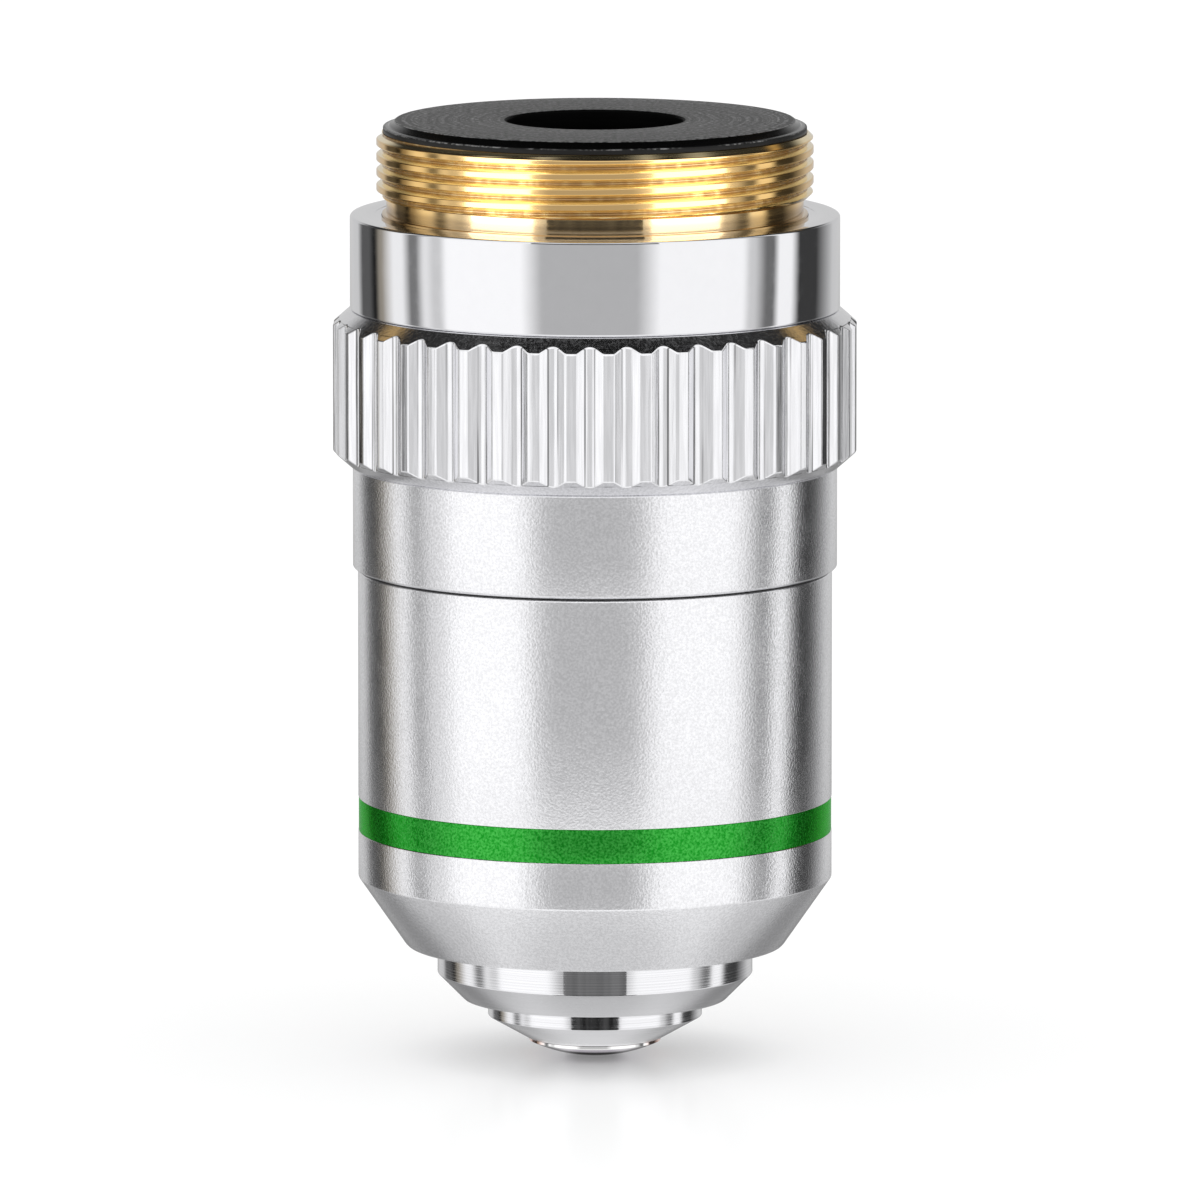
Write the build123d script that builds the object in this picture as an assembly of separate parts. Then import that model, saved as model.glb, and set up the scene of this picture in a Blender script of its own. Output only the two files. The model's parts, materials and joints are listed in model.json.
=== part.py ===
from build123d import *
import os
from math import asin, copysign, cos, radians, sin, sqrt

# Microscope objective with a spring-loaded nose, in millimetres.
# Z is the optical axis. The seat that meets the microscope is the plane z = 0, the mount thread
# stands above it, and the front lens is the lowest point. All fine threads are plain cylinders.

# Fits
slide_gap = 0.03
mouth_gap = 0.05
thread_gap = 0.02
flange_gap = 0.10
film_gap = 0.01
end_gap = 0.05

# Objective thread, the neck under it and the rear stop ring
thread_diameter = 20.32
thread_length = 3.00
thread_chamfer = 0.25
neck_length = 0.85
neck_depth = 0.46
neck_wall = 1.90
mount_lip_height = 0.08
ledge_depth = 1.25
stop_flange_inset = 0.31
stop_flange_thickness = 0.55
stop_chamfer_width = 0.36
stop_chamfer_height = 0.30
stop_face_width = 5.285
stop_hole_bevel = 0.08
stop_plug_length = 2.30

# Tubes that slide in each other
lens_tube_diameter = 16.40
lens_tube_wall = 1.20
mount_tube_wall = 1.67
flange_width = 1.10
flange_thickness = 1.50
nose_travel = 1.20

# Collar with the seat face
seat_relief = 0.10
seat_relief_depth = 0.03
seat_width = 1.01
collar_height = 4.40
collar_bevel = 0.13

# Fluted grip ring
grip_wall = 2.28
grip_height = 7.30
grip_chamfer_width = 0.80
grip_chamfer_height = 0.70
flute_count = 44
flute_depth = 0.34
flute_land_width = 0.51
flute_root_width = 0.41
flute_root_sag = 0.05
first_land_degrees = -87.03

# Satin ring and barrel sleeve
ring_wall = 1.36
ring_height = 4.87
ring_top_bevel = 0.10
ring_base_bevel_width = 0.22
ring_base_bevel_height = 0.14
sleeve_wall = 1.13
sleeve_length = 14.48
sleeve_bevel = 0.12
sleeve_overlap = 7.93
cone_height = 3.23
mouth_wall = 1.48
mouth_edge = 0.12
lip_height = 2.08
band_width = 1.58
band_depth = 0.15
band_recess = 0.02
band_to_cone = 2.17

# Return spring
spring_wire_width = 0.80
spring_wire_height = 0.50
spring_turns = 3.0

# Guide screw and its keyway
guide_screw_diameter = 1.60
guide_screw_reach = 0.60
guide_screw_depth = 4.00
guide_screw_slot_width = 0.35
guide_screw_slot_depth = 0.50
keyway_floor = 0.15

# Nose cell, front cell and front lens, each outside the next
front_lens_diameter = 6.14
front_lens_edge = 2.00
front_lens_bulge = 0.80
front_lens_lip = 0.45
front_cell_wall = 1.91
front_cell_rim = 0.10
front_cell_dome_height = 1.10
front_cell_dome_bulge = 0.15
front_cell_exposure = 0.81
front_cell_seat_depth = 3.30
nose_face_width = 1.13
nose_cone_width = 1.21
nose_cone_height = 1.22
nose_exposure = 1.34
nose_spigot_length = 3.00
nose_bore_diameter = 8.00

# Lens cells stacked in the lens tube
cell_shoulder = 0.50
cell_shoulder_gap = 0.20
lens_lip = 0.40
cell_floor = 1.20
middle_cell_length = 8.00
middle_cell_wall = 2.66
rear_cell_length = 7.50
rear_cell_wall = 2.26
spacer_wall = 1.00
lock_ring_height = 1.20
lock_ring_width = 1.50
lock_ring_slot = 0.80
lock_ring_slot_depth = 0.60
lock_ring_recess = 1.00

# Glass of the two cemented pairs
flint_thickness = 1.20
crown_thickness = 3.40
middle_cement_curve = 14.00
middle_crown_curve = 18.00
rear_cement_curve = 18.00
rear_crown_curve = 24.00

# Radii from the lens tube outwards
tube_radius = lens_tube_diameter / 2
tube_bore = tube_radius - lens_tube_wall
guide_bore = tube_radius + slide_gap
mount_radius = guide_bore + mount_tube_wall
ring_bore = mount_radius + thread_gap
flange_radius = tube_radius + flange_width
flange_bore = flange_radius + flange_gap
thread_radius = thread_diameter / 2
neck_radius = thread_radius - neck_depth
light_bore = neck_radius - neck_wall
relief_radius = max(thread_radius, ring_bore) + seat_relief
collar_radius = relief_radius + seat_width + collar_bevel
grip_radius = ring_bore + grip_wall
ring_radius = ring_bore + ring_wall
sleeve_radius = ring_bore + sleeve_wall

# Radii from the front lens outwards
front_lens_radius = front_lens_diameter / 2
front_pocket = front_lens_radius + thread_gap
front_cell_radius = front_pocket + front_cell_wall
front_cell_bore = front_cell_radius + thread_gap
nose_face_radius = front_cell_bore + nose_face_width
nose_radius = nose_face_radius + nose_cone_width
mouth_radius = nose_radius + mouth_gap
cone_end_radius = mouth_radius + mouth_wall
nose_spigot_bore = tube_bore - cell_shoulder
nose_spigot_radius = nose_spigot_bore - thread_gap

# Radii of the lens stack, from the lens tube inwards
cell_radius = tube_bore - thread_gap
middle_lens_radius = cell_radius - middle_cell_wall - thread_gap
rear_lens_radius = cell_radius - rear_cell_wall - thread_gap

# Heights down the outside
mount_top = neck_length + thread_length
collar_base = -collar_height
grip_base = collar_base - grip_height
ring_base = grip_base - ring_height
cone_top = ring_base - sleeve_length
sleeve_base = cone_top - cone_height
nose_shoulder = sleeve_base - nose_exposure
nose_face = nose_shoulder - nose_cone_height
front_cell_shoulder = nose_face - front_cell_exposure
front_rim = front_cell_shoulder - front_cell_dome_height
front_tip = front_rim - front_lens_bulge

# Heights inside
mount_base = ring_base - sleeve_overlap
lip_top = sleeve_base + lip_height
flange_top = lip_top + flange_thickness
tube_top = -ledge_depth - nose_travel - end_gap
spigot_top = lip_top + nose_spigot_length
stack_base = spigot_top + cell_shoulder_gap
stack_top = tube_top - lock_ring_recess - lock_ring_height
middle_cell_top = stack_base + middle_cell_length
rear_cell_base = stack_top - rear_cell_length
guide_screw_height = mount_base + guide_screw_depth
front_seat = nose_face + front_cell_seat_depth
front_pocket_top = front_rim + front_lens_edge


def turned(*outline):
    """A piece turned about the optical axis, from the (radius, height) corners of its section."""
    corners = [(radius, 0, height) for radius, height in outline]
    return revolve(make_face(Polyline(*corners, close=True)), Axis.Z)


def at_angle(radius, angle):
    """A point of a cross-section, at a radius from the optical axis and an angle in radians."""
    return (radius * cos(angle), radius * sin(angle))


def make_mount_body():
    """Threaded brass mount with its neck and the tube that carries the rings and the barrel."""
    body = turned(
        (guide_bore, mount_base),
        (mount_radius, mount_base),
        (mount_radius, mount_lip_height),
        (neck_radius, mount_lip_height),
        (neck_radius, neck_length),
        (thread_radius - thread_chamfer, neck_length),
        (thread_radius, neck_length + thread_chamfer),
        (thread_radius, mount_top - thread_chamfer),
        (thread_radius - thread_chamfer, mount_top),
        (light_bore, mount_top),
        (light_bore, -ledge_depth),
        (guide_bore, -ledge_depth),
    )
    hole_radius = guide_screw_diameter / 2 + thread_gap
    hole = Cylinder(hole_radius, mount_radius, align=(Align.CENTER, Align.CENTER, Align.MIN))
    return body - guide_screw_place(0) * hole


def guide_screw_place(radius):
    """Where the guide screw's axis, which points outwards at the back, crosses a radius."""
    return Location(Plane((0, radius, guide_screw_height), x_dir=(1, 0, 0), z_dir=(0, 1, 0)))


def make_rear_stop_ring():
    """Black ring whose flange lies on the end of the mount and whose plug screws into its bore."""
    rim_radius = thread_radius - stop_flange_inset
    face_radius = rim_radius - stop_chamfer_width
    hole_radius = face_radius - stop_face_width - stop_hole_bevel
    flange_top_z = mount_top + stop_flange_thickness
    plug_radius = light_bore - thread_gap
    return turned(
        (hole_radius, mount_top - stop_plug_length),
        (plug_radius, mount_top - stop_plug_length),
        (plug_radius, mount_top),
        (rim_radius, mount_top),
        (rim_radius, flange_top_z - stop_chamfer_height),
        (face_radius, flange_top_z),
        (hole_radius + stop_hole_bevel, flange_top_z),
        (hole_radius, flange_top_z - stop_hole_bevel),
    )


def make_mount_collar():
    """Chromed collar; a shallow relief keeps the seat face clear of the thread's root corner."""
    return turned(
        (ring_bore, collar_base),
        (collar_radius - collar_bevel, collar_base),
        (collar_radius, collar_base + collar_bevel),
        (collar_radius, -collar_bevel),
        (collar_radius - collar_bevel, 0),
        (relief_radius, 0),
        (relief_radius, -seat_relief_depth),
        (ring_bore, -seat_relief_depth),
    )


def flute_outline():
    """Edges of the grip's cross-section: a land, a flank, a rounded root and a flank for each flute."""
    pitch = radians(360 / flute_count)
    root_radius = grip_radius - flute_depth
    flank_foot = root_radius + flute_root_sag
    half_land = asin(flute_land_width / 2 / grip_radius)
    half_root = asin(flute_root_width / 2 / flank_foot)
    edges = []
    for flute in range(flute_count):
        land = radians(first_land_degrees) + flute * pitch
        root = land + pitch / 2
        land_end = at_angle(grip_radius, land + half_land)
        root_start = at_angle(flank_foot, root - half_root)
        root_end = at_angle(flank_foot, root + half_root)
        next_land = at_angle(grip_radius, land + pitch - half_land)
        edges += [
            ThreePointArc(at_angle(grip_radius, land - half_land), at_angle(grip_radius, land), land_end),
            Line(land_end, root_start),
            ThreePointArc(root_start, at_angle(root_radius, root), root_end),
            Line(root_end, next_land),
        ]
    return edges


def make_grip_ring():
    """Grip ring: straight flutes along its whole length, run out by a chamfer at each end."""
    blank = turned(
        (ring_bore, grip_base),
        (grip_radius - grip_chamfer_width, grip_base),
        (grip_radius, grip_base + grip_chamfer_height),
        (grip_radius, collar_base - grip_chamfer_height),
        (grip_radius - grip_chamfer_width, collar_base),
        (ring_bore, collar_base),
    )
    fluted = Pos(0, 0, grip_base) * extrude(make_face(flute_outline()), grip_height)
    return blank & fluted


def make_barrel_ring():
    """Satin ring under the grip, bevelled at both ends."""
    return turned(
        (ring_bore, ring_base),
        (ring_radius - ring_base_bevel_width, ring_base),
        (ring_radius, ring_base + ring_base_bevel_height),
        (ring_radius, grip_base - ring_top_bevel),
        (ring_radius - ring_top_bevel, grip_base),
        (ring_bore, grip_base),
    )


def make_barrel_sleeve():
    """Barrel with its cone, the groove of the colour band, and the lip that stops the nose."""
    band_base = cone_top + band_to_cone
    groove_radius = sleeve_radius - band_depth
    return turned(
        (mouth_radius, sleeve_base),
        (cone_end_radius - mouth_edge, sleeve_base),
        (cone_end_radius, sleeve_base + mouth_edge),
        (sleeve_radius, cone_top),
        (sleeve_radius, band_base),
        (groove_radius, band_base),
        (groove_radius, band_base + band_width),
        (sleeve_radius, band_base + band_width),
        (sleeve_radius, ring_base - sleeve_bevel),
        (sleeve_radius - sleeve_bevel, ring_base),
        (ring_bore, ring_base),
        (ring_bore, mount_base - end_gap),
        (flange_bore, mount_base - end_gap),
        (flange_bore, lip_top),
        (mouth_radius, lip_top),
    )


def make_colour_band():
    """Enamel band in the barrel's groove, a little below the barrel's surface."""
    band_base = cone_top + band_to_cone
    inner_radius = sleeve_radius - band_depth + film_gap
    outer_radius = sleeve_radius - band_recess
    return turned(
        (inner_radius, band_base + film_gap),
        (outer_radius, band_base + film_gap),
        (outer_radius, band_base + band_width - film_gap),
        (inner_radius, band_base + band_width - film_gap),
    )


def make_return_spring():
    """Flat-wire coil spring around the lens tube, from the flange up to the end of the mount tube."""
    coil_radius = (tube_radius + flange_bore) / 2
    rise = mount_base - flange_top - spring_wire_height - 2 * film_gap
    start_height = flange_top + spring_wire_height / 2 + film_gap
    path = Pos(0, 0, start_height) * Helix(rise / spring_turns, rise, coil_radius)
    start = Plane(path @ 0, x_dir=(1, 0, 0), z_dir=path % 0)
    wire = start * Rectangle(spring_wire_width, spring_wire_height)
    return sweep(wire, path, is_frenet=True)


def make_guide_screw():
    """Headless screw in the mount tube, with a driver slot outside and a plain tip in the keyway."""
    inner_end = guide_bore - guide_screw_reach
    length = mount_radius - inner_end
    screw = Cylinder(guide_screw_diameter / 2, length, align=(Align.CENTER, Align.CENTER, Align.MIN))
    slot = Pos(0, 0, length) * Box(guide_screw_diameter, guide_screw_slot_width, 2 * guide_screw_slot_depth)
    return guide_screw_place(inner_end) * (screw - slot)


def make_lens_tube():
    """Sliding tube with the flange at its foot and a blind keyway for the guide screw."""
    tube = turned(
        (nose_spigot_bore, lip_top),
        (flange_radius, lip_top),
        (flange_radius, flange_top),
        (tube_radius, flange_top),
        (tube_radius, tube_top),
        (tube_bore, tube_top),
        (tube_bore, stack_base),
        (nose_spigot_bore, stack_base),
    )
    keyway_bottom = guide_bore - guide_screw_reach - keyway_floor
    keyway_width = guide_screw_diameter + 2 * end_gap
    keyway = extrude(SlotCenterToCenter(nose_travel, keyway_width, rotation=90), flange_radius)
    below_screw = Pos(0, 0, -nose_travel / 2)
    return tube - below_screw * guide_screw_place(keyway_bottom) * keyway


def make_nose_cell():
    """Nose ring and cone; its spigot screws into the lens tube and its bore takes the front cell."""
    bore_radius = nose_bore_diameter / 2
    return turned(
        (front_cell_bore, nose_face),
        (nose_face_radius, nose_face),
        (nose_radius, nose_shoulder),
        (nose_radius, lip_top),
        (nose_spigot_radius, lip_top),
        (nose_spigot_radius, spigot_top),
        (bore_radius, spigot_top),
        (bore_radius, front_seat),
        (front_cell_bore, front_seat),
    )


def make_front_cell():
    """Front cell with a shallow dome around the front lens."""
    clear_radius = front_lens_radius - front_lens_lip
    rim = Vector(front_pocket + front_cell_rim, 0, front_rim)
    shoulder = Vector(front_cell_radius, 0, front_cell_shoulder)
    slope = shoulder - rim
    outwards = Vector(slope.Z, 0, -slope.X).normalized()
    dome = ThreePointArc(rim, (rim + shoulder) / 2 + outwards * front_cell_dome_bulge, shoulder)
    inside = Polyline(
        shoulder,
        (front_cell_radius, 0, front_seat),
        (clear_radius, 0, front_seat),
        (clear_radius, 0, front_pocket_top),
        (front_pocket, 0, front_pocket_top),
        (front_pocket, 0, front_rim),
        rim,
    )
    return revolve(make_face([dome, inside]), Axis.Z)


def make_lens_cell(base, top, lens_radius):
    """Lens cell: a floor with a clear hole, and a pocket above it for a cemented pair."""
    pocket = lens_radius + thread_gap
    clear_radius = lens_radius - lens_lip
    return turned(
        (clear_radius, base),
        (cell_radius, base),
        (cell_radius, top),
        (pocket, top),
        (pocket, base + cell_floor),
        (clear_radius, base + cell_floor),
    )


def make_lens_spacer():
    """Plain tube between the two lens cells."""
    return turned(
        (cell_radius - spacer_wall, middle_cell_top),
        (cell_radius, middle_cell_top),
        (cell_radius, rear_cell_base),
        (cell_radius - spacer_wall, rear_cell_base),
    )


def make_lock_ring():
    """Ring above the rear cell, slotted right across for a spanner."""
    ring = turned(
        (cell_radius - lock_ring_width, stack_top),
        (cell_radius, stack_top),
        (cell_radius, stack_top + lock_ring_height),
        (cell_radius - lock_ring_width, stack_top + lock_ring_height),
    )
    slot = Box(lens_tube_diameter, lock_ring_slot, 2 * lock_ring_slot_depth)
    return ring - Pos(0, 0, stack_top + lock_ring_height) * slot


def glass_face(vertex, curve, rim_radius):
    """Half-section of a lens face: a positive curve has its centre above, 0 is flat."""

    def point(radius):
        rise = abs(curve) - sqrt(curve**2 - radius**2) if curve else 0
        return (radius, 0, vertex + copysign(rise, curve))

    if curve:
        return ThreePointArc(point(0), point(rim_radius / 2), point(rim_radius))
    return Line(point(0), point(rim_radius))


def make_lens(rim_radius, lower_vertex, lower_curve, upper_vertex, upper_curve):
    """Round lens between a lower and an upper face."""
    lower = glass_face(lower_vertex, lower_curve, rim_radius)
    upper = glass_face(upper_vertex, upper_curve, rim_radius)
    rim = Line(lower @ 1, upper @ 1)
    axis = Line(upper @ 0, lower @ 0)
    return revolve(make_face([lower, rim, upper, axis]), Axis.Z)


def make_front_lens():
    """Front lens, flat inside and bulging out of its cell."""
    half_chord = front_lens_radius
    curve = (half_chord**2 + front_lens_bulge**2) / (2 * front_lens_bulge)
    return make_lens(half_chord, front_tip, curve, front_pocket_top, 0)


def make_cemented_pair(seat, rim_radius, cement_curve, crown_curve):
    """Flat-based flint lens on the cell's floor and the crown lens cemented into its hollow."""
    hollow = seat + flint_thickness
    flint = make_lens(rim_radius, seat, 0, hollow, cement_curve)
    crown_base = hollow + film_gap
    crown = make_lens(
        rim_radius, crown_base, cement_curve - film_gap, crown_base + crown_thickness, -crown_curve
    )
    return flint, crown


middle_flint_lens, middle_crown_lens = make_cemented_pair(
    stack_base + cell_floor, middle_lens_radius, middle_cement_curve, middle_crown_curve
)
rear_flint_lens, rear_crown_lens = make_cemented_pair(
    rear_cell_base + cell_floor, rear_lens_radius, rear_cement_curve, rear_crown_curve
)

pieces = {
    "mount_body": make_mount_body(),
    "rear_stop_ring": make_rear_stop_ring(),
    "mount_collar": make_mount_collar(),
    "grip_ring": make_grip_ring(),
    "barrel_ring": make_barrel_ring(),
    "barrel_sleeve": make_barrel_sleeve(),
    "colour_band": make_colour_band(),
    "return_spring": make_return_spring(),
    "guide_screw": make_guide_screw(),
    "lens_tube": make_lens_tube(),
    "nose_cell": make_nose_cell(),
    "front_cell": make_front_cell(),
    "front_lens": make_front_lens(),
    "middle_cell": make_lens_cell(stack_base, middle_cell_top, middle_lens_radius),
    "middle_flint_lens": middle_flint_lens,
    "middle_crown_lens": middle_crown_lens,
    "lens_spacer": make_lens_spacer(),
    "rear_cell": make_lens_cell(rear_cell_base, stack_top, rear_lens_radius),
    "rear_flint_lens": rear_flint_lens,
    "rear_crown_lens": rear_crown_lens,
    "lock_ring": make_lock_ring(),
}

os.makedirs("parts", exist_ok=True)
for name, shape in pieces.items():
    export_step(shape, f"parts/{name}.step")
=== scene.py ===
# %% [markdown]
# # A microscope objective, from its solids to a studio picture
# The solids of the objective come in as a fixed frame: they say where every piece is and how the nose
# slides. Here the pieces that show are turned again with finer faces and rounded edges, the thread is cut,
# and every surface gets its finish. Lengths are in metres, so `mm` turns the sizes on a drawing into
# Blender's units.

# %% Load the frame
import json
from itertools import pairwise
from math import atan2, cos, hypot, pi, radians, sin, sqrt, tan

import bpy
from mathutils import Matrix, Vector

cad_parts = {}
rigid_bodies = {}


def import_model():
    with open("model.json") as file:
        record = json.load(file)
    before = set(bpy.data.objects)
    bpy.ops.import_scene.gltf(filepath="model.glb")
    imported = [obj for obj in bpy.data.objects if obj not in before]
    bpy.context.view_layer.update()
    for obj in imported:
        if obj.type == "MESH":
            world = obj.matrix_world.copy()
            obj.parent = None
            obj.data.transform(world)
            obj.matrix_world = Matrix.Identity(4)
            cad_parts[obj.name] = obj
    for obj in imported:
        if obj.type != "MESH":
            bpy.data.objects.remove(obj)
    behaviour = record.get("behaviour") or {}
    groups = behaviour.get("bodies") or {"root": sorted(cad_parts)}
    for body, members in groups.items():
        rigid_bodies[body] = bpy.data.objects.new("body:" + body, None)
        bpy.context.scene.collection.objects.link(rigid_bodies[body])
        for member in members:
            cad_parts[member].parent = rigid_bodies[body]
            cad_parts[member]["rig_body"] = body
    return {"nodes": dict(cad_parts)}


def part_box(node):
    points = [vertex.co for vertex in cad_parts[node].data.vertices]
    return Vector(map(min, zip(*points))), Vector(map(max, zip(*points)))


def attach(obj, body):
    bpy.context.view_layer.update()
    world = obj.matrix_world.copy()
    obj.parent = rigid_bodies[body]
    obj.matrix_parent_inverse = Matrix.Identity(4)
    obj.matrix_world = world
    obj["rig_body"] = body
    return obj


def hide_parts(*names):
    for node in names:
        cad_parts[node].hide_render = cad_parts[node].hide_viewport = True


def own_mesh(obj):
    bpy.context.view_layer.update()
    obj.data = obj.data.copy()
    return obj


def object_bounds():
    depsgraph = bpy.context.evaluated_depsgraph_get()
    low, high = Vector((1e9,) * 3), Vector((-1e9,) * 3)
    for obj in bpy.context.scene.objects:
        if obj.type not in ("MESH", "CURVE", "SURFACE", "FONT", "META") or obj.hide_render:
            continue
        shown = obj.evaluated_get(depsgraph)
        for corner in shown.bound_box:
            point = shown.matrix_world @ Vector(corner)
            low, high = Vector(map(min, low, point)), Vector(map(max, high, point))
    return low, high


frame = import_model()
cad_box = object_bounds()
mm = 0.001
print("CAD box in mm:", [[round(value / mm, 2) for value in corner] for corner in cad_box])

# %% [markdown]
# ## The camera
# The photograph was taken with a long lens from a little above the seat, so that upright edges stay nearly
# parallel. A camera that is placed by its distance and its height angle is easy to compare with a
# photograph, and a long focal length does the rest.

# %% Place the camera
camera_distance = 800.9 * mm
camera_rise = radians(7.96)
camera_aim = Vector((0.233 * mm, 0, -18.13 * mm))
camera_lens = 515.4
camera_place = camera_aim + camera_distance * Vector((0, -cos(camera_rise), sin(camera_rise)))
bpy.ops.object.camera_add(location=camera_place, rotation=(pi / 2 - camera_rise, 0, 0))
camera = bpy.context.object
camera.data.lens = camera_lens
bpy.context.scene.camera = camera
bpy.context.scene.view_settings.view_transform = "Standard"
print("camera at", [round(value, 4) for value in camera.location])

# %% [markdown]
# ## Helpers for shader nodes
# A finish is a small network of nodes. A few helpers keep the networks short: they add a node and set or
# link its sockets by name, do arithmetic between sockets, and blend colours and shaders.


# %% Node helpers
def connect(tree, socket, value):
    """Links a socket to another node's output, or sets it to a plain value."""
    if isinstance(value, bpy.types.NodeSocket):
        tree.links.new(value, socket)
    else:
        socket.default_value = value


def set_sockets(tree, node, **sockets):
    """Links or sets a node's sockets by their names (an underscore stands for a space)."""
    for name, value in sockets.items():
        connect(tree, node.inputs[name.replace("_", " ")], value)


def add_node(tree, kind, **sockets):
    """A shader node, with its sockets given by name."""
    made = tree.nodes.new("ShaderNode" + kind)
    set_sockets(tree, made, **sockets)
    return made


def reckon(tree, operation, first, second=0.0):
    """The output of one step of arithmetic."""
    made = tree.nodes.new("ShaderNodeMath")
    made.operation = operation
    connect(tree, made.inputs[0], first)
    connect(tree, made.inputs[1], second)
    return made.outputs[0]


def product(tree, first, *others):
    """Values multiplied together; of masks, it is one where all of them are."""
    for other in others:
        first = reckon(tree, "MULTIPLY", first, other)
    return first


def between(tree, value, start, end, at_start=0.0, at_end=1.0):
    """A value that goes smoothly from one level to another while the input goes from start to end."""
    made = add_node(
        tree, "MapRange", Value=value, From_Min=start, From_Max=end, To_Min=at_start, To_Max=at_end
    )
    made.interpolation_type = "SMOOTHSTEP"
    return made.outputs[0]


def blend(tree, share, first, second):
    """A colour between two others."""
    made = tree.nodes.new("ShaderNodeMix")
    made.data_type = "RGBA"
    connect(tree, made.inputs[0], share)
    connect(tree, made.inputs[6], first)
    connect(tree, made.inputs[7], second)
    return made.outputs[2]


def mix_shaders(tree, share, first, second):
    """The output of a shader between two others."""
    made = add_node(tree, "MixShader", Fac=share)
    connect(tree, made.inputs[1], first)
    connect(tree, made.inputs[2], second)
    return made.outputs[0]


def grey(level):
    """A neutral colour."""
    return (level, level, level, 1)


def bare_material(name):
    """A material with an empty tree, for shaders other than Principled."""
    material = bpy.data.materials.new(name)
    material.use_nodes = True
    material.node_tree.nodes.clear()
    return material, material.node_tree


print("node helpers ready")

# %% [markdown]
# ## The studio
# Chrome has no colour of its own: it shows the room. The photograph shows a grey gap in front, a large
# white softbox on either side, narrow strips of light and dark beyond them, a black flag near each edge and
# a dim white wall behind. They could be modelled one by one, but the world can hold them all as bands
# around the horizon. Above them the ceiling is dark and below them the ground is pale. Large cards complete
# the room: a panel over the camera, the table in front and at the side, the shadows and the dark behind,
# and a warm lamp there. Matt surfaces cannot show any of this, so they get even white light, and only the
# camera sees plain white.

# %% Bands of light around the horizon
# each band: its name, its start and end in degrees from the front, its light
studio_bands = [
    ("back wall", -180, -149, grey(0.65)),
    ("left flag", -142, -133, grey(0.11)),
    ("left flag's edge", -128, -126, grey(0.02)),
    ("warm strip", -122, -120, (0.33, 0.3, 0.25, 1)),
    ("left strip", -110, -103, grey(1.03)),
    ("left gap", -97, -93, grey(0.22)),
    ("left screen", -88, -86, grey(0.93)),
    ("left streak", -82, -78, grey(0.72)),
    ("left softbox", -74, -35, grey(1.18)),
    ("front gap", -25, 20, grey(0.53)),
    ("right softbox", 31, 74, grey(1.13)),
    ("right streak", 78, 81, grey(0.72)),
    ("right gap", 88, 93, grey(0.18)),
    ("right strip", 97, 106, grey(1.1)),
    ("right flag", 112, 128, grey(0.05)),
    ("back wall", 150, 180, grey(0.64)),
]
# each card: its name, its turn and half width, its rise and half height, its softness, its light
studio_cards = [
    ("panel over the camera", 0, 80, 44, 30, 6, grey(1.1)),
    ("bright table in front", 0, 75, -44, 18, 9, grey(1.1)),
    ("dim table at the side", 123, 16, -46, 13, 9, grey(0.6)),
    ("shadow at the side", 151, 16, -32, 15, 9, grey(0.28)),
    ("shadow behind", 180, 14, -19, 9, 6, grey(0.25)),
    ("dark loft behind", 180, 72, 44, 24, 6, grey(0.03)),
    ("warm lamp behind", 139, 3, 36, 4, 3, (0.6, 0.4, 0.17, 1)),
]
# each level: where it begins and where it is full, in degrees of rise, and its light
studio_levels = [("ground", -14, -34, 0.88), ("under", -60, -76, 0.68), ("ceiling", 48, 70, 0.015)]
matt_light = 1.0


def window(tree, value, middle, half, softness):
    """One inside a range of angles, nought outside, with soft edges."""
    away = reckon(tree, "ABSOLUTE", reckon(tree, "SUBTRACT", value, radians(middle)))
    return between(tree, away, radians(half + softness), radians(half - softness))


def paint_studio():
    """A world whose bands light the object; the camera sees white behind it."""
    world = bpy.data.worlds.new("studio")
    world.use_nodes = True
    tree = world.node_tree
    tree.nodes.clear()
    direction = add_node(tree, "SeparateXYZ", Vector=add_node(tree, "TexCoord").outputs["Generated"]).outputs
    turn = reckon(tree, "ARCTAN2", direction["X"], product(tree, direction["Y"], -1.0))
    share = reckon(tree, "ADD", reckon(tree, "DIVIDE", turn, 2 * pi), 0.5)
    ring = add_node(tree, "ValToRGB", Fac=share)
    stops = ring.color_ramp.elements
    while len(stops) < 2 * len(studio_bands):
        stops.new(0.5)
    edges = [(edge, colour) for _, start, end, colour in studio_bands for edge in (start, end)]
    for stop, (edge, colour) in zip(stops, edges):
        stop.position = edge / 360 + 0.5
        stop.color = colour
    rise = reckon(tree, "ARCSINE", direction["Z"])
    room = ring.outputs["Color"]
    for _, begins, full, level in studio_levels:
        room = blend(tree, between(tree, rise, radians(begins), radians(full)), room, grey(level))
    around = reckon(tree, "ABSOLUTE", turn)
    for _, middle, half, height, half_height, softness, colour in studio_cards:
        across = window(tree, around, middle, half, softness)
        upright = window(tree, rise, height, half_height, softness)
        room = blend(tree, product(tree, across, upright), room, colour)
    path = add_node(tree, "LightPath").outputs
    room = blend(tree, path["Is Diffuse Ray"], room, grey(matt_light))
    seen = reckon(tree, "MAXIMUM", path["Is Camera Ray"], path["Is Transmission Ray"])
    light = add_node(tree, "Background", Color=blend(tree, seen, room, grey(1)))
    add_node(tree, "OutputWorld", Surface=light.outputs[0])
    return world


bpy.context.scene.world = paint_studio()
print("studio with", len(studio_bands), "bands and", len(studio_cards), "cards")

# %% [markdown]
# ## The table
# The objective stands on its front lens on a white sheet with a faint gloss. The sheet takes the soft
# shadow, and a glow that only the camera sees lifts it to white. An ambient occlusion node finds how much
# of the air close above a point is covered, and dims the sheet and its glow there, a painted contact
# shadow. In reflections the room's pale ground stands for the sheet.

# %% Lay the table
table_width = 3.0
table_glow = 0.3
table_gloss = 0.2
contact_reach = 4.4 * mm
contact_light = 0.68


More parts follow.
